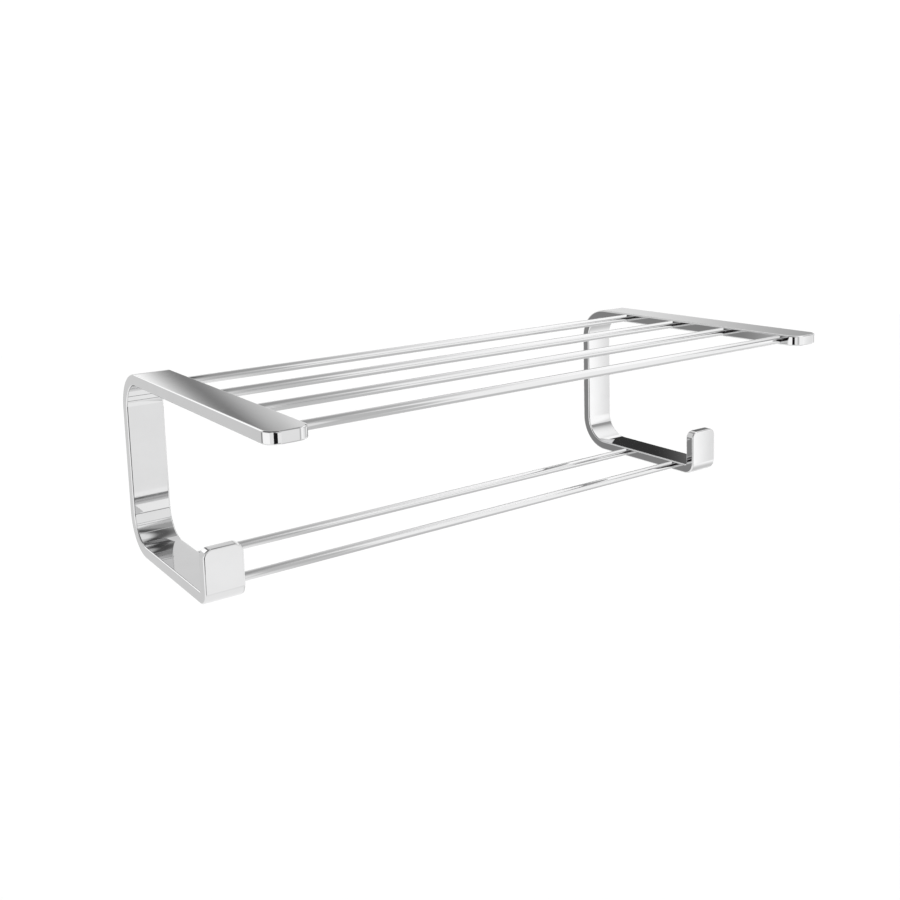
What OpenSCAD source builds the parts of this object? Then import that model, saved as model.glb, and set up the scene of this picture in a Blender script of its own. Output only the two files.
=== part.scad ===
// Wall-mounted towel rack: two bent-strap brackets carry a four-rod shelf and,
// under it, two rods for hanging towels. Each lower arm turns up into a hook.
// X runs along the rods, the wall is the plane Y = 0, the rack reaches out
// towards -Y, and Z is up. The origin is the centre of the wall screws.

/* [Overall] */
// Width over the outer side faces of the two brackets
rack_w = 600; // [400:5:900]
// Height of a bracket
bracket_h = 170; // [165:1:230]
// Reach of the shelf arm from the wall
shelf_reach = 310; // [290:1:360]
// Reach of the lower arm from the wall, to the front of its hook
hook_reach = 177; // [165:1:230]
// Height of the hook over the underside of the lower arm
hook_h = 48; // [30:1:70]

/* [Strap] */
// Width of the strap that a bracket is bent from
strap_w = 35; // [32:1:45]
// Thickness of the strap
strap_t = 10; // [9:0.5:12]
// Radius of the strap's rounded edges
edge_r = 1.5; // [0.5:0.1:2]
// Inner radius of the two bends at the wall
wall_bend_r = 26; // [20:1:28]
// Inner radius of the bend into the hook
hook_bend_r = 2.5; // [2:0.5:8]
// Corner radius at the front of the shelf arm, seen from above
arm_corner_r = 11; // [5:0.5:15]
// Corner radius at the top of the hook, seen from the front
hook_corner_r = 7.5; // [4:0.5:15]

/* [Rods] */
// Outer diameter of a rod
rod_d = 8; // [7.5:0.5:8.5]
// Wall thickness of the rod's tube
rod_wall = 1; // [0.8:0.1:1.2]
// Number of rods in the shelf
shelf_rods = 4; // [2:1:4]
// Distance from one shelf rod to the next
shelf_pitch = 71.5; // [40:0.5:80]
// Distance from the front of the shelf arm to its front rod
shelf_front_gap = 21.5; // [18:0.5:30]
// Number of rods between the lower arms
hanging_rods = 2; // [1:1:2]
// Distance from one lower rod to the next
hanging_pitch = 72.5; // [40:0.5:80]
// Distance from the front of the hook to the front lower rod
hanging_front_gap = 32.5; // [25:0.5:40]

/* [Rod fixings] */
// Diameter of the spigot where it enters the bracket
spigot_d = 5; // [4.5:0.5:5]
// Length of the spigot inside the bracket
spigot_out = 12; // [10:0.5:16]
// Length of the spigot inside the tube
spigot_in = 20; // [12:1:30]
// Diameter at the bottom of the spigot's locking groove
groove_d = 4; // [3.5:0.5:4]
// Thread diameter of the locking screw
rod_screw_d = 3; // [2.5:0.5:3]
// Width across the flats of the locking screw's hexagon socket
rod_screw_key = 1.5; // [1.3:0.1:1.5]

/* [Wall fixing] */
// Width of a wall plate
plate_w = 24; // [20:1:26]
// Height of a wall plate where it meets the wall
plate_h = 76; // [70:1:76]
// Thickness of a wall plate
plate_t = 5; // [4:0.5:5]
// How far the plate's dovetailed top and bottom edges lean out
plate_flare = 3; // [2:0.5:3]
// Distance between the two screw holes of a plate
wall_screw_pitch = 50; // [40:1:54]
// Diameter of a wall screw's hole
wall_screw_d = 5; // [4:0.5:6]
// Diameter of the countersink for a wall screw's head
wall_head_d = 10; // [8:0.5:12]
// Thread diameter of the screw that locks a bracket on its plate
lock_screw_d = 4; // [3:0.5:4]
// Length of that screw
lock_screw_l = 16; // [10:1:18]
// Width across the flats of its hexagon socket
lock_screw_key = 2; // [1.5:0.5:2]

/* [Hidden] */
$fn = 64;
// Overshoot that lets a cut run clear of the surface it leaves
over = 1;
// Radial clearance of a screw in its thread and of a spigot in its socket
slip = 0.05;
// Play between a wall plate and the pocket that covers it
plate_play = 0.5;
// Height of the countersunk screw head's cone
head_h = (wall_head_d - wall_screw_d) / 2;

half_h = bracket_h / 2;
outer_bend_r = wall_bend_r + strap_t;
outer_hook_r = hook_bend_r + strap_t;
bend_z = half_h - outer_bend_r;
shelf_z = half_h - strap_t / 2;
hanging_z = -shelf_z;
bracket_x = (rack_w - strap_w) / 2;
rod_len = rack_w - 2 * strap_w;
tube_bore_d = rod_d - 2 * rod_wall;
socket_depth = spigot_out + plate_play;
groove_w = rod_screw_d + 4 * slip;
// Sideways distance from the bracket's inner face to a locking screw
screw_inset = spigot_out / 2;
rod_screw_l = strap_t / 2 - groove_d / 2;

// The dovetail's slope, and where the plate and its pocket end below
flare_slope = plate_flare / plate_t;
pocket_depth = plate_t + plate_play;
pocket_low_z = -plate_h / 2 - 2 * plate_flare - over;
// The lock screw stands this far from the wall and ends on the plate's edge
lock_y = plate_t - over;
lock_tip_z = -plate_h / 2 - flare_slope * lock_y;

SIDES = ["left", "right"];
// Each rod is [name, distance from the wall, height]
RODS = [
    for (i = [1:shelf_rods])
        [str("upper_rod_", i), shelf_reach - shelf_front_gap - (shelf_rods - i) * shelf_pitch, shelf_z],
    for (i = [1:hanging_rods])
        [str("lower_rod_", i), hook_reach - hanging_front_gap - (hanging_rods - i) * hanging_pitch, hanging_z]
];

// ---- Placing ----

// Puts what is drawn for a bracket centred on X = 0, inner face towards +X, at its end of the rack
module at_side(side) {
    mirror([side == "right" ? 1 : 0, 0, 0])
        translate([-bracket_x, 0, 0])
            children();
}

// Turns a side view (x out from the wall, y up) into the rack's frame
module side_view() {
    rotate([90, 0, -90])
        children();
}

// Puts what is drawn along +Z from the origin at a rod's end, pointing into the bracket
module at_rod_end(rod) {
    translate([strap_w / 2, -rod[1], rod[2]])
        rotate([0, -90, 0])
            children();
}

// Puts what is drawn upwards from Z = 0 at a locking screw's mouth, on the underside of an arm
module at_rod_screw(rod) {
    translate([strap_w / 2 - screw_inset, -rod[1], rod[2] - strap_t / 2])
        children();
}

// ---- Strap ----

// Cross-section of the strap, x through its thickness and y across its width
module strap_section() {
    square([strap_t - 2 * edge_r, strap_w], center = true);
    square([strap_t, strap_w - 2 * edge_r], center = true);
    for (x = [-1, 1], y = [-1, 1])
        translate([x * (strap_t / 2 - edge_r), y * (strap_w / 2 - edge_r)])
            circle(r = edge_r);
}

// Straight stretch of strap in the side view, out from the wall at one height
module strap_out(from, to, height) {
    translate([from, height, 0])
        rotate([90, 0, 90])
            linear_extrude(to - from)
                strap_section();
}

// Straight stretch of strap in the side view, upwards at one reach
module strap_up(from, to, reach) {
    translate([reach, from, 0])
        rotate([-90, 0, 0])
            linear_extrude(to - from)
                strap_section();
}

// Quarter bend in the side view, starting at an angle about its centre
module strap_bend(centre, inner_r, start) {
    translate(centre)
        rotate(start)
            rotate_extrude(angle = 90)
                translate([inner_r + strap_t / 2, 0])
                    strap_section();
}

// Half of the strap's thickness profile, rounded where x reaches corner_r
module end_section(corner_r) {
    translate([0, edge_r - strap_t / 2])
        square([corner_r, strap_t - 2 * edge_r]);
    translate([0, -strap_t / 2])
        square([corner_r - edge_r, strap_t]);
    for (y = [-1, 1])
        translate([corner_r - edge_r, y * (strap_t / 2 - edge_r)])
            circle(r = edge_r);
}

// Free end of a flat strap that points along +X, with round corners in plan
module strap_end(corner_r) {
    inset = strap_w / 2 - corner_r;
    for (corner = [0, 1])
        translate([0, inset * (1 - 2 * corner), 0])
            rotate(-90 * corner)
                rotate_extrude(angle = 90)
                    end_section(corner_r);
    rotate([90, 0, 0])
        linear_extrude(2 * inset, center = true)
            end_section(corner_r);
}

// The whole strap in the side view, from the shelf arm's front round to the hook's top
module bent_strap() {
    arm_end = shelf_reach - arm_corner_r;
    hook_centre = hook_reach - outer_hook_r;
    hook_base_z = outer_hook_r - half_h;
    hook_end_z = hook_h - half_h - hook_corner_r;

    translate([arm_end, shelf_z, 0])
        rotate([-90, 0, 0])
            strap_end(arm_corner_r);
    strap_out(outer_bend_r, arm_end, shelf_z);
    strap_bend([outer_bend_r, bend_z, 0], wall_bend_r, 90);
    strap_up(-bend_z, bend_z, strap_t / 2);
    strap_bend([outer_bend_r, -bend_z, 0], wall_bend_r, 180);
    strap_out(outer_bend_r, hook_centre, hanging_z);
    strap_bend([hook_centre, hook_base_z, 0], hook_bend_r, 270);
    strap_up(hook_base_z, hook_end_z, hook_reach - strap_t / 2);
    translate([hook_reach - strap_t / 2, hook_end_z, 0])
        rotate([90, 0, 90])
            strap_end(hook_corner_r);
}

// ---- Bracket ----

// Pocket in the bracket's back that hangs on the dovetailed top of the wall plate
module plate_pocket() {
    width = plate_w + 2 * plate_play;
    top_z = plate_h / 2;
    side_view()
        linear_extrude(width, center = true)
            polygon([
                [-over, pocket_low_z],
                [pocket_depth, pocket_low_z],
                [pocket_depth, top_z + flare_slope * pocket_depth],
                [-over, top_z - flare_slope * over]
            ]);
}

module bracket(side) {
    color("gainsboro")
        at_side(side)
            difference() {
                side_view()
                    bent_strap();
                plate_pocket();
                translate([0, -lock_y, -half_h])
                    cylinder(d = lock_screw_d, h = pocket_low_z + half_h + over);
                for (rod = RODS) {
                    at_rod_end(rod)
                        translate([0, 0, -over])
                            cylinder(d = spigot_d, h = socket_depth + over);
                    at_rod_screw(rod)
                        translate([0, 0, -over])
                            cylinder(d = rod_screw_d, h = strap_t / 2 + over);
                }
            }
}

// ---- Rods and their fixings ----

module rod_tube(rod) {
    color("silver")
        translate([-rod_len / 2, -rod[1], rod[2]])
            rotate([0, 90, 0])
                difference() {
                    cylinder(d = rod_d, h = rod_len);
                    translate([0, 0, -over])
                        cylinder(d = tube_bore_d, h = rod_len + 2 * over);
                }
}

// Turned pin, pressed into the tube's end and held in the bracket by its groove
module spigot(rod, side) {
    color("tan")
        at_side(side)
            at_rod_end(rod)
                difference() {
                    union() {
                        translate([0, 0, -spigot_in])
                            cylinder(d = tube_bore_d, h = spigot_in);
                        cylinder(d = spigot_d - 2 * slip, h = spigot_out);
                    }
                    translate([0, 0, screw_inset - groove_w / 2])
                        difference() {
                            cylinder(d = rod_d, h = groove_w);
                            translate([0, 0, -over])
                                cylinder(d = groove_d, h = groove_w + 2 * over);
                        }
                }
}

// Headless screw that stands on Z = 0 with its hexagon socket below
module headless_screw(d, length, key, point_h, point_d) {
    socket_h = length / 3;
    difference() {
        union() {
            cylinder(d = d - 2 * slip, h = length - point_h);
            translate([0, 0, length - point_h])
                cylinder(d1 = d - 2 * slip, d2 = point_d, h = point_h);
        }
        translate([0, 0, -over])
            cylinder(d = key / cos(30), h = socket_h + over, $fn = 6);
    }
}

module rod_screw(rod, side) {
    point_h = rod_screw_d / 6;
    color("dimgray")
        at_side(side)
            at_rod_screw(rod)
                headless_screw(rod_screw_d, rod_screw_l, rod_screw_key, point_h, rod_screw_d - 2 * point_h);
}

// ---- Wall fixing ----

// Plate for two countersunk wall screws, with a dovetailed top and bottom edge
module wall_plate(side) {
    color("lightsteelblue")
        at_side(side)
            difference() {
                side_view()
                    linear_extrude(plate_w, center = true)
                        polygon([
                            [0, -plate_h / 2],
                            [plate_t, -plate_h / 2 - plate_flare],
                            [plate_t, plate_h / 2 + plate_flare],
                            [0, plate_h / 2]
                        ]);
                for (z = [-1, 1])
                    translate([0, over, z * wall_screw_pitch / 2])
                        rotate([90, 0, 0]) {
                            cylinder(d = wall_screw_d, h = plate_t + 2 * over);
                            translate([0, 0, over + plate_t - head_h])
                                cylinder(d1 = wall_screw_d, d2 = wall_head_d, h = head_h);
                        }
            }
}

// Cone-pointed screw, driven up from the lower bend against the plate's bottom edge
module lock_screw(side) {
    point_h = lock_screw_d / 2;
    color("dimgray")
        at_side(side)
            translate([0, -lock_y, lock_tip_z - lock_screw_l])
                headless_screw(lock_screw_d, lock_screw_l, lock_screw_key, point_h, 0);
}

// ---- The rack ----

for (side = SIDES) {
    bracket(side);
    wall_plate(side);
    lock_screw(side);
}
for (rod = RODS) {
    rod_tube(rod);
    for (side = SIDES) {
        spigot(rod, side);
        rod_screw(rod, side);
    }
}
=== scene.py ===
"""Looks for the wall-mounted towel rack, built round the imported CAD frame, in metres.

The wall is the plane Y = 0, the rack reaches out towards -Y, and Z is up.
"""

import math

import bmesh
import bpy
from mathutils import Euler, Matrix, Vector


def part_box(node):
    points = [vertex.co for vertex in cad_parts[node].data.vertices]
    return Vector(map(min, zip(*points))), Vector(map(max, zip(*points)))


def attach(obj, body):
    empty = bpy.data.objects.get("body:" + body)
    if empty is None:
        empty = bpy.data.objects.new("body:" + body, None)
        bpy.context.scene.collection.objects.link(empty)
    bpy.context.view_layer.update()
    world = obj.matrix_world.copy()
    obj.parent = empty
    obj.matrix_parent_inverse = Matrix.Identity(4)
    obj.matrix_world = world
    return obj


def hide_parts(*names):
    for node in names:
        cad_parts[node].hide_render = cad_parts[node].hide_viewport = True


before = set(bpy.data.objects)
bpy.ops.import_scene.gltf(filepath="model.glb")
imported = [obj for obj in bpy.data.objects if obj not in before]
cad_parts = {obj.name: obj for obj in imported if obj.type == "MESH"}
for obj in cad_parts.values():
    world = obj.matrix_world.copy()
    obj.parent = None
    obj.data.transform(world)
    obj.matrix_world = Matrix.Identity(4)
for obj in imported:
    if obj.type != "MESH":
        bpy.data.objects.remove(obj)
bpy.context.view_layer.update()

BODY = "root"
SIDES = ("left", "right")
RODS = [f"upper_rod_{i}" for i in (1, 2, 3, 4)] + [f"lower_rod_{i}" for i in (1, 2)]

# ---- Sizes that the CAD solids' boxes don't give ----

STRAP_T = 0.010
EDGE_R = 0.0015
WALL_BEND_R = 0.026
HOOK_BEND_R = 0.0025
ARM_CORNER_R = 0.011
HOOK_CORNER_R = 0.0075
HOOK_REACH = 0.177
HOOK_H = 0.048
POCKET_PLAY = 0.0005
POCKET_DROP = 0.004
PLATE_T = 0.005
PLATE_FLARE = 0.003
PLATE_EDGE = 0.0004
HEAD_R = 0.005
WALL_SCREW_R = 0.0025
WALL_SCREW_PITCH = 0.050
SOCKET_R = 0.0025
SOCKET_DEPTH = 0.0125
ROD_WALL = 0.001
ROD_EDGE = 0.0003

# How far a cutter runs past the face it opens
OVER = 0.001
# Two places closer than this count as one
TINY = 0.000001
# An axis's place in a point
Y, Z = 1, 2

# Flat faces in each rounded stretch
BEND_STEPS = 24
HOOK_STEPS = 16
ARM_CORNER_STEPS = 20
EDGE_STEPS = 6
PLATE_EDGE_STEPS = 3
HOLE_STEPS = 32
TURNED_STEPS = 48


# ---- Mesh tools ----


def make_object(name, bm):
    """A mesh object with this name, made from a bmesh."""
    mesh = bpy.data.meshes.new(name)
    bm.to_mesh(mesh)
    bm.free()
    obj = bpy.data.objects.new(name, mesh)
    bpy.context.scene.collection.objects.link(obj)
    return obj


def arc(centre, radius, start, end, steps):
    """Points on an arc in a plane, from one angle to another, in degrees."""
    angles = [math.radians(start + (end - start) * i / steps) for i in range(steps + 1)]
    return [(centre[0] + radius * math.cos(a), centre[1] + radius * math.sin(a)) for a in angles]


def side_prism(outline, x_from, x_to):
    """A solid with this outline of (distance from the wall, height), between two values of x."""
    bm = bmesh.new()
    near = [bm.verts.new((x_from, -reach, height)) for reach, height in outline]
    far = [bm.verts.new((x_to, -reach, height)) for reach, height in outline]
    bm.faces.new(near)
    bm.faces.new(reversed(far))
    for i in range(len(outline)):
        j = (i + 1) % len(outline)
        bm.faces.new((near[j], near[i], far[i], far[j]))
    bmesh.ops.recalc_face_normals(bm, faces=bm.faces)
    return bm


def bevel(bm, edges, radius, steps):
    """Rounds these edges to a radius."""
    bmesh.ops.bevel(bm, geom=edges, offset=radius, offset_type="OFFSET", segments=steps,
                    profile=0.5, affect="EDGES", clamp_overlap=False)


def sharp_edges(bm, least_degrees=40):
    """Edges whose two faces meet at more than an angle."""
    return [e for e in bm.edges if e.calc_face_angle(0) > math.radians(least_degrees)]


def add_modifier(obj, kind, **settings):
    """Adds a modifier and sets its values."""
    modifier = obj.modifiers.new(kind.lower(), kind)
    for key, value in settings.items():
        setattr(modifier, key, value)
    return modifier


def cut(obj, cutter):
    """Takes the cutter's shape out of obj, and removes the cutter."""
    modifier = add_modifier(obj, "BOOLEAN", operation="DIFFERENCE", object=cutter, solver="EXACT")
    with bpy.context.temp_override(object=obj, active_object=obj):
        bpy.ops.object.modifier_apply(modifier=modifier.name)
    bpy.data.objects.remove(cutter)


def shade(obj, sharp_degrees=35):
    """Smooth shading that keeps flat faces truly flat beside their rounded edges."""
    obj.data.shade_smooth()
    obj.data.set_sharp_from_angle(angle=math.radians(sharp_degrees))
    add_modifier(obj, "WEIGHTED_NORMAL", mode="FACE_AREA", weight=100, keep_sharp=True)


def fill_slots(node, material):
    """Gives a CAD node this material."""
    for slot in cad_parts[node].material_slots:
        slot.material = material


def cylinder(start, end, radius):
    """A capped cylinder between two points."""
    start, end = Vector(start), Vector(end)
    axis = end - start
    place = axis.to_track_quat("Z", "Y").to_matrix().to_4x4()
    place.translation = (start + end) / 2
    bm = bmesh.new()
    bmesh.ops.create_cone(bm, cap_ends=True, segments=HOLE_STEPS, radius1=radius, radius2=radius,
                          depth=axis.length, matrix=place)
    return bm


def turned_solid(profile, axis, centre, tube=False):
    """A solid turned round the X or Y axis, from a profile of (place along the axis, radius).

    A tube's profile goes round its wall and closes. Any other solid is capped at both ends.
    """
    along, across = (0, 1) if axis == "X" else (1, 0)
    bm = bmesh.new()
    rings = []
    for place, radius in profile:
        ring = []
        for i in range(TURNED_STEPS):
            a = 2 * math.pi * i / TURNED_STEPS
            corner = Vector(centre)
            corner[along] = place
            corner[across] += radius * math.cos(a)
            corner.z += radius * math.sin(a)
            ring.append(bm.verts.new(corner))
        rings.append(ring)
    pairs = list(zip(rings, rings[1:]))
    if tube:
        pairs.append((rings[-1], rings[0]))
    else:
        bm.faces.new(rings[0])
        bm.faces.new(rings[-1])
    for ring, following in pairs:
        for i in range(TURNED_STEPS):
            j = (i + 1) % TURNED_STEPS
            bm.faces.new((ring[i], following[i], following[j], ring[j]))
    bmesh.ops.recalc_face_normals(bm, faces=bm.faces)
    return bm


# ---- Brackets ----


def bracket_outline(low, high):
    """The strap's outline seen from the side: shelf arm, two bends at the wall, lower arm and hook."""
    reach, base, top = -low.y, low.z, high.z
    outer = WALL_BEND_R + STRAP_T
    hook_outer = HOOK_BEND_R + STRAP_T
    hook_centre = (HOOK_REACH - hook_outer, base + hook_outer)
    hook_top = base + HOOK_H
    points = [(reach, top - STRAP_T), (reach, top)]
    points += arc((outer, top - outer), outer, 90, 180, BEND_STEPS)
    points += arc((outer, base + outer), outer, 180, 270, BEND_STEPS)
    points += arc(hook_centre, hook_outer, 270, 360, HOOK_STEPS)
    points += [(HOOK_REACH, hook_top), (HOOK_REACH - STRAP_T, hook_top)]
    points += arc(hook_centre, HOOK_BEND_R, 360, 270, HOOK_STEPS // 2)
    points += arc((outer, base + outer), WALL_BEND_R, 270, 180, BEND_STEPS)
    points += arc((outer, top - outer), WALL_BEND_R, 180, 90, BEND_STEPS)
    return points


def plate_pocket(node):
    """Cutter for the pocket that covers a wall plate, a little larger than the plate."""
    low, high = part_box(node)
    depth = PLATE_T + POCKET_PLAY
    slope = PLATE_FLARE / PLATE_T
    lip = high.z - PLATE_FLARE
    outline = [
        (-OVER, low.z - POCKET_DROP),
        (depth, low.z - POCKET_DROP),
        (depth, lip + slope * depth),
        (-OVER, lip - slope * OVER),
    ]
    return make_object("pocket", side_prism(outline, low.x - POCKET_PLAY, high.x + POCKET_PLAY))


def screw_hole(node, base):
    """Cutter for a screw's hole, from the strap's underside at this height up to the screw's tip."""
    low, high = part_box(node)
    middle = (low + high) / 2
    mouth = (middle.x, middle.y, base - OVER)
    tip = (middle.x, middle.y, high.z)
    return make_object("screw_hole", cylinder(mouth, tip, (high.x - low.x) / 2))


def rod_socket(rod, side):
    """Cutter for the socket in a bracket's inner face that takes a rod's spigot."""
    low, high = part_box(rod)
    middle = (low + high) / 2
    face, inwards = (low.x, -1) if side == "left" else (high.x, 1)
    mouth = (face - OVER * inwards, middle.y, middle.z)
    bottom = (face + SOCKET_DEPTH * inwards, middle.y, middle.z)
    return make_object("rod_socket", cylinder(mouth, bottom, SOCKET_R))


def end_corners(bm, axis, place):
    """The two edges through the strap's thickness where it ends, at this place on the axis."""
    return [e for e in bm.edges
            if all(abs(v.co[axis] - place) < TINY for v in e.verts)
            and abs(e.verts[0].co.x - e.verts[1].co.x) < TINY]


def make_bracket(side):
    """One bracket, all one piece, with its plate pocket, rod sockets and screw holes."""
    node = f"{side}_bracket"
    low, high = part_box(node)
    bm = side_prism(bracket_outline(low, high), low.x, high.x)
    bevel(bm, end_corners(bm, Y, low.y), ARM_CORNER_R, ARM_CORNER_STEPS)
    bevel(bm, end_corners(bm, Z, low.z + HOOK_H), HOOK_CORNER_R, HOOK_STEPS)
    bevel(bm, sharp_edges(bm), EDGE_R, EDGE_STEPS)
    obj = make_object(f"{side}_bracket_strap", bm)
    cut(obj, plate_pocket(f"{side}_wall_plate"))
    cut(obj, screw_hole(f"{side}_lock_screw", low.z))
    for rod in RODS:
        cut(obj, rod_socket(rod, side))
        screw = f"{rod}_{side}_screw"
        cut(obj, screw_hole(screw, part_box(screw)[0].z))
    shade(obj)
    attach(obj, BODY)
    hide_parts(node)
    return obj


# ---- Wall plates ----


def countersink(low, high, height):
    """Cutter for one wall screw's countersunk hole through a plate."""
    profile = [
        (high.y + OVER, WALL_SCREW_R),
        (low.y + HEAD_R - WALL_SCREW_R, WALL_SCREW_R),
        (low.y - OVER, HEAD_R + OVER),
    ]
    centre = ((low.x + high.x) / 2, 0, height)
    return make_object("countersink", turned_solid(profile, "Y", centre))


def make_wall_plate(side):
    """One wall plate with dovetailed top and bottom edges and two countersunk holes."""
    node = f"{side}_wall_plate"
    low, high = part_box(node)
    outline = [
        (0, low.z + PLATE_FLARE),
        (PLATE_T, low.z),
        (PLATE_T, high.z),
        (0, high.z - PLATE_FLARE),
    ]
    bm = side_prism(outline, low.x, high.x)
    bevel(bm, sharp_edges(bm), PLATE_EDGE, PLATE_EDGE_STEPS)
    obj = make_object(f"{node}_body", bm)
    for sign in (-1, 1):
        cut(obj, countersink(low, high, sign * WALL_SCREW_PITCH / 2))
    shade(obj)
    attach(obj, BODY)
    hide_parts(node)
    return obj


# ---- Rods ----


def make_rod(node):
    """A drawn tube with eased ends, open right through."""
    low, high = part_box(node)
    radius = (high.z - low.z) / 2
    middle = (low + high) / 2
    bore = radius - ROD_WALL
    profile = [
        (low.x, bore),
        (low.x, radius - ROD_EDGE),
        (low.x + ROD_EDGE, radius),
        (high.x - ROD_EDGE, radius),
        (high.x, radius - ROD_EDGE),
        (high.x, bore),
    ]
    obj = make_object(f"{node}_tube", turned_solid(profile, "X", middle, tube=True))
    shade(obj)
    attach(obj, BODY)
    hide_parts(node)
    return obj


# ---- Shader nodes ----


def add_node(tree, kind, inputs, output=0, **settings):
    """Adds a shader node, fills its inputs with values or other nodes' outputs, and returns an output."""
    node = tree.nodes.new(f"ShaderNode{kind}")
    for key, value in settings.items():
        setattr(node, key, value)
    for key, value in inputs.items():
        if isinstance(value, bpy.types.NodeSocket):
            tree.links.new(value, node.inputs[key])
        else:
            node.inputs[key].default_value = value
    return node.outputs[output]


def calculate(tree, operation, *values):
    """The result of a Math node."""
    return add_node(tree, "Math", dict(enumerate(values)), operation=operation)


def remap(tree, value, low, high, to_low=0.0, to_high=1.0):
    """The value carried smoothly from one range to another and held at its ends."""
    inputs = {"Value": value, "From Min": low, "From Max": high, "To Min": to_low, "To Max": to_high}
    return add_node(tree, "MapRange", inputs, interpolation_type="SMOOTHSTEP")


def blend_values(tree, factor, first, second):
    """A value that goes from the first to the second as the factor rises."""
    return add_node(tree, "Mix", {0: factor, 2: first, 3: second}, data_type="FLOAT")


# ---- Materials ----


def new_material(name, **values):
    """A Principled material with these plain values, and its node tree and shader."""
    material = bpy.data.materials.new(name)
    material.use_nodes = True
    tree = material.node_tree
    shader = tree.nodes["Principled BSDF"]
    for key, value in values.items():
        shader.inputs[key].default_value = value
    return material, tree, shader


def noise(tree, lumps, detail=2.0, stretch=(1, 1, 1)):
    """Noise with this many lumps a metre, drawn out along the axes whose stretch is over 1."""
    where = add_node(tree, "TexCoord", {}, output="Object")
    squeeze = tuple(1 / s for s in stretch)
    where = add_node(tree, "Mapping", {"Vector": where, "Scale": squeeze})
    return add_node(tree, "TexNoise", {"Vector": where, "Scale": lumps, "Detail": detail})


def colour_between(tree, shader, amount, first, second):
    """Gives the shader a colour that wanders between two."""
    ends = {0: amount, 6: (*first, 1), 7: (*second, 1)}
    colour = add_node(tree, "Mix", ends, output=2, data_type="RGBA")
    tree.links.new(colour, shader.inputs["Base Color"])


def gloss_and_relief(tree, shader, roughness, height, depth):
    """Links the roughness, and a bump of this depth in metres."""
    tree.links.new(roughness, shader.inputs["Roughness"])
    bump = add_node(tree, "Bump", {"Height": height, "Distance": depth})
    tree.links.new(bump, shader.inputs["Normal"])


def bracket_chrome():
    """Chrome plate over a polished casting: a mirror with a trace of haze and the faintest ripple."""
    material, tree, shader = new_material("bracket_chrome", Metallic=1.0)
    haze = noise(tree, 45, detail=4)
    amount = remap(tree, haze, 0.35, 0.65)
    colour_between(tree, shader, amount, (0.620, 0.620, 0.623), (0.632, 0.632, 0.635))
    gloss = remap(tree, noise(tree, 260, detail=5), 0.3, 0.7, 0.02, 0.045)
    gloss_and_relief(tree, shader, gloss, noise(tree, 70), 0.000002)
    return material


def rod_chrome():
    """Chrome plate over drawn tube, with faint marks along its length."""
    material, tree, shader = new_material("rod_chrome", Metallic=1.0)
    drawing = noise(tree, 2500, detail=3, stretch=(300, 1, 1))
    colour_between(tree, shader, drawing, (0.605, 0.605, 0.608), (0.622, 0.622, 0.625))
    gloss = remap(tree, drawing, 0.3, 0.7, 0.03, 0.07)
    gloss_and_relief(tree, shader, gloss, drawing, 0.000001)
    return material


def turned_brass():
    """Brass left bright from the lathe, with fine rings round its axis and a little tarnish."""
    material, tree, shader = new_material("spigot_brass", Metallic=1.0)
    tarnish = noise(tree, 400, detail=4)
    colour_between(tree, shader, tarnish, (0.83, 0.62, 0.30), (0.60, 0.40, 0.17))
    rings = noise(tree, 9000, detail=1, stretch=(1, 400, 400))
    gloss_and_relief(tree, shader, remap(tree, rings, 0.3, 0.7, 0.16, 0.34), rings, 0.000008)
    return material


def black_oxide():
    """Oxide-blacked steel, oily black with brown in its thin places."""
    material, tree, shader = new_material("screw_black", Metallic=0.9)
    wear = noise(tree, 900, detail=4)
    colour_between(tree, shader, remap(tree, wear, 0.45, 0.75), (0.030, 0.030, 0.034), (0.10, 0.085, 0.075))
    gloss = remap(tree, wear, 0.3, 0.7, 0.30, 0.50)
    gloss_and_relief(tree, shader, gloss, noise(tree, 5000), 0.000006)
    return material


def zinc_plate():
    """Zinc-plated pressed steel, cloudy, with the sheet's rolling marks under the plating."""
    material, tree, shader = new_material("plate_zinc", Metallic=1.0)
    clouds = noise(tree, 250, detail=5)
    colour_between(tree, shader, remap(tree, clouds, 0.35, 0.65), (0.50, 0.51, 0.53), (0.58, 0.585, 0.60))
    rolling = noise(tree, 3000, detail=3, stretch=(1, 1, 60))
    gloss_and_relief(tree, shader, remap(tree, clouds, 0.3, 0.7, 0.26, 0.42), rolling, 0.000005)
    return material


# ---- The rack ----

chrome = bracket_chrome()
drawn_chrome = rod_chrome()
brass = turned_brass()
black = black_oxide()
zinc = zinc_plate()
for side in SIDES:
    make_bracket(side).data.materials.append(chrome)
    make_wall_plate(side).data.materials.append(zinc)
for rod in RODS:
    make_rod(rod).data.materials.append(drawn_chrome)
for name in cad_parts:
    if name.endswith("_spigot"):
        fill_slots(name, brass)
    elif name.endswith("_screw"):
        fill_slots(name, black)

# ---- Camera ----

# Where it stands, and the degrees that it looks down, turns to the right and leans
EYE = (-0.5941, -0.9543, 0.2599)
LOOK_DOWN = 8.0
TURN_RIGHT = 34.78
LEAN = 1.68

camera = bpy.data.objects.new("camera", bpy.data.cameras.new("camera"))
bpy.context.scene.collection.objects.link(camera)
bpy.context.scene.camera = camera
camera.data.sensor_width = 36
camera.data.lens = 42.32
camera.data.shift_y = -0.15
camera.location = EYE
aim = Euler((math.radians(90 - LOOK_DOWN), 0, math.radians(-TURN_RIGHT))).to_matrix()
tilt = Euler((0, 0, math.radians(-LEAN))).to_matrix()
camera.rotation_euler = (aim @ tilt).to_euler()

# ---- Studio: a light tent and soft patches of sky, seen only in reflections ----

PAPER_WHITE = 1.08
GLOW = 1.30
# Where the tent's front wall, the wall further out on its right, its ceiling and the floor are
FRONT = -0.85
FAR_FRONT = -1.0
CEILING = 0.77
FLOOR = -1.3
# One step off a wall, for the sheets hung before it
LAYER = 0.005


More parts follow.
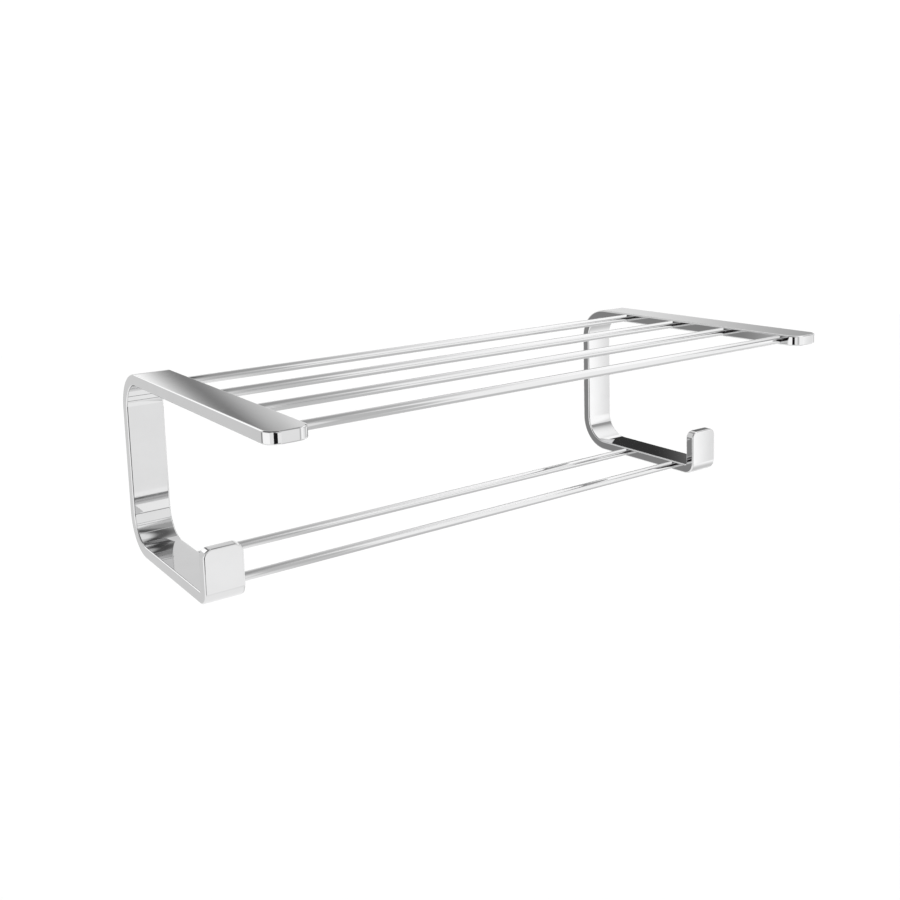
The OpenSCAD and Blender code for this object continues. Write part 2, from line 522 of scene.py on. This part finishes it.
def sheet_between(name, low, high):
    """A flat sheet with these lowest and highest corners, which agree on one axis."""
    low, high = Vector(low), Vector(high)
    flat = [i for i in range(3) if low[i] == high[i]][0]
    first, second = [i for i in range(3) if i != flat]
    bm = bmesh.new()
    corners = []
    for u, v in ((0, 0), (1, 0), (1, 1), (0, 1)):
        corner = low.copy()
        corner[first] = high[first] if u else low[first]
        corner[second] = high[second] if v else low[second]
        corners.append(bm.verts.new(corner))
    bm.faces.new(corners)
    sheet = make_object(name, bm)
    return sheet


def tent_sheet(name, low, high, stops):
    """A sheet seen only in reflections, whose brightness goes along X through stops of (x, level)."""
    sheet = sheet_between(name, low, high)
    sheet.visible_camera = False
    sheet.visible_diffuse = False
    sheet.visible_shadow = False
    material = bpy.data.materials.new(name)
    material.use_nodes = True
    tree = material.node_tree
    tree.nodes.clear()
    where = add_node(tree, "NewGeometry", {}, output="Position")
    x = add_node(tree, "SeparateXYZ", {"Vector": where}, output="X")
    strength = GLOW * stops[0][1]
    for (x_from, _), (x_to, level) in zip(stops, stops[1:]):
        strength = blend_values(tree, remap(tree, x, x_from, x_to), strength, GLOW * level)
    glow = add_node(tree, "Emission", {"Color": (1, 1, 1, 1), "Strength": strength})
    out = tree.nodes.new("ShaderNodeOutputMaterial")
    tree.links.new(glow, out.inputs["Surface"])
    sheet.data.materials.append(material)


def sky_patch(tree, direction, level, azimuth, elevation, size, soft, brightness, roll=0.0):
    """Lays a soft-edged rectangle of sky over the level so far.

    All its angles are in degrees. The azimuth turns from +Y towards +X, the size is (width, height),
    and soft is how wide its edges are, across and up.
    """
    turn = Matrix.Rotation(math.radians(-azimuth), 3, "Z")
    turn = turn @ Matrix.Rotation(math.radians(elevation), 3, "X")
    turn = turn @ Matrix.Rotation(math.radians(roll), 3, "Y")
    local = add_node(tree, "VectorRotate", {"Vector": direction, "Rotation": turn.to_euler()[:]},
                     rotation_type="EULER_XYZ", invert=True)
    x, y, z = (add_node(tree, "SeparateXYZ", {"Vector": local}, output=axis) for axis in "XYZ")
    mask = 1.0
    angles = (calculate(tree, "ARCTAN2", x, y), calculate(tree, "ARCSINE", z))
    for angle, whole, edge in zip(angles, size, soft):
        off = calculate(tree, "ABSOLUTE", angle)
        inside = remap(tree, off, math.radians(whole / 2 + edge), math.radians(whole / 2))
        mask = calculate(tree, "MULTIPLY", mask, inside)
    return blend_values(tree, mask, level, brightness)


def sky_level(tree):
    """How bright the studio is beyond the tent, by direction."""
    direction = add_node(tree, "TexCoord", {}, output="Generated")
    across = add_node(tree, "SeparateXYZ", {"Vector": direction}, output="X")
    upwards = add_node(tree, "SeparateXYZ", {"Vector": direction}, output="Z")
    # Grey to the left and ahead, white to the right, and grey again at the far right end
    level = blend_values(tree, remap(tree, across, 0.40, 0.62), 0.685, 1.10)
    level = blend_values(tree, remap(tree, across, 0.91, 0.985), level, 0.62)
    # A white panel above and behind the rack, and a small one hung askew beside a dark strip
    level = sky_patch(tree, direction, level, -9, 28, (24, 18), (4, 3), 1.25)
    level = sky_patch(tree, direction, level, 19.0, 12.8, (5.2, 9), (1.5, 2), 1.12, roll=45)
    level = sky_patch(tree, direction, level, 21.4, 11.5, (0, 14), (2.2, 3), 0.20, roll=45)
    # Grey panels to the right, and a black one over them and one under them
    level = sky_patch(tree, direction, level, 49, 7, (18, 10), (3, 3), 0.70)
    level = sky_patch(tree, direction, level, 62, 5, (10, 14), (14, 4), 0.30)
    level = sky_patch(tree, direction, level, 41.5, 20, (8, 12), (10.5, 2), 0.033)
    level = sky_patch(tree, direction, level, 44, -15, (22, 16), (4, 4), 0.03)
    # The left side below eye level: a grey patch, a dark one, and a white one at the far end
    level = sky_patch(tree, direction, level, -22, -16, (16, 20), (6, 8), 0.66)
    level = sky_patch(tree, direction, level, -45.5, -12, (9, 16), (4, 6), 0.25)
    level = sky_patch(tree, direction, level, -87, -14, (54, 40), (5, 6), 1.12)
    # The ground, darker to the right
    ground = blend_values(tree, remap(tree, across, 0.36, 0.43), 0.95, 0.62)
    return blend_values(tree, remap(tree, upwards, -0.40, -0.74), level, ground)


def make_sky():
    """The patches for what the rack reflects, and plain paper white for everything else."""
    world = bpy.data.worlds.new("studio")
    bpy.context.scene.world = world
    world.use_nodes = True
    tree = world.node_tree
    tree.nodes.clear()
    strength = calculate(tree, "MULTIPLY", sky_level(tree), GLOW)
    studio = add_node(tree, "Background", {"Color": (1, 1, 1, 1), "Strength": strength})
    plain = add_node(tree, "Background", {"Color": (1, 1, 1, 1), "Strength": PAPER_WHITE})
    reflected = add_node(tree, "LightPath", {}, output="Is Glossy Ray")
    shown = add_node(tree, "MixShader", {0: reflected, 1: plain, 2: studio})
    out = tree.nodes.new("ShaderNodeOutputWorld")
    tree.links.new(shown, out.inputs["Surface"])


def make_tent():
    """The tent's front walls and ceiling, and the black camera inside it with a light beside it."""
    tent_sheet("front_wall", (-1.3, FRONT, -0.42), (0.9, FRONT, CEILING), [
        (-0.6, 0.92),
        (-0.5, 0.60),
        (-0.08, 0.60),
        (-0.07, 0.89),
        (0.03, 0.89),
        (0.07, 0.58),
        (0.18, 0.58),
        (0.28, 1.06),
    ])
    tent_sheet("front_wall_foot", (-0.09, FRONT + LAYER, -0.6), (0.05, FRONT + LAYER, -0.285), [(0, 0.98)])
    tent_sheet("front_wall_right", (0.9, FAR_FRONT, -0.5), (1.8, FAR_FRONT, CEILING), [
        (1.05, 1.06),
        (1.12, 1.18),
        (1.16, 1.18),
        (1.25, 0.88),
    ])
    corner_y = FAR_FRONT + LAYER
    tent_sheet("shaded_corner", (1.1, corner_y, 0.45), (1.8, corner_y, CEILING), [(0, 0.36)])
    # Dark at its left end but for one narrow lamp
    tent_sheet("ceiling", (-1.3, FAR_FRONT, CEILING), (1.8, 0.45, CEILING), [
        (-0.12, 0.13),
        (-0.06, 0.85),
        (-0.040, 0.85),
        (-0.014, 0.11),
        (-0.004, 0.11),
        (0.033, 0.38),
        (0.70, 1.18),
        (0.88, 1.18),
        (1.50, 0.42),
    ])
    before_wall = FRONT + 2 * LAYER
    before_all = FRONT + 4 * LAYER
    tent_sheet("black_camera_side", (-0.43, before_wall, -0.45), (-0.43, -0.50, 0.33), [(0, 0.01)])
    tent_sheet("black_camera_front", (-0.50, before_all, -0.16), (-0.345, before_all, 0.12), [(0, 0.01)])
    tent_sheet("light_beside_camera", (-0.35, before_wall, -0.12), (-0.07, before_wall, 0.10), [(0, 0.95)])
    tent_sheet("dark_under_camera", (-0.80, before_wall, -0.31), (-0.09, before_wall, -0.13), [(0, 0.02)])


def make_floor():
    """Plain pale paper, which the rack doesn't reflect."""
    floor = sheet_between("floor", (-9, -9, FLOOR), (9, 9, FLOOR))
    floor.visible_glossy = False
    paper, _, shader = new_material("floor_paper", Roughness=0.9)
    shader.inputs["Base Color"].default_value = (0.94, 0.94, 0.94, 1)
    floor.data.materials.append(paper)


make_sky()
make_tent()
make_floor()
bpy.context.scene.view_settings.view_transform = "Standard"
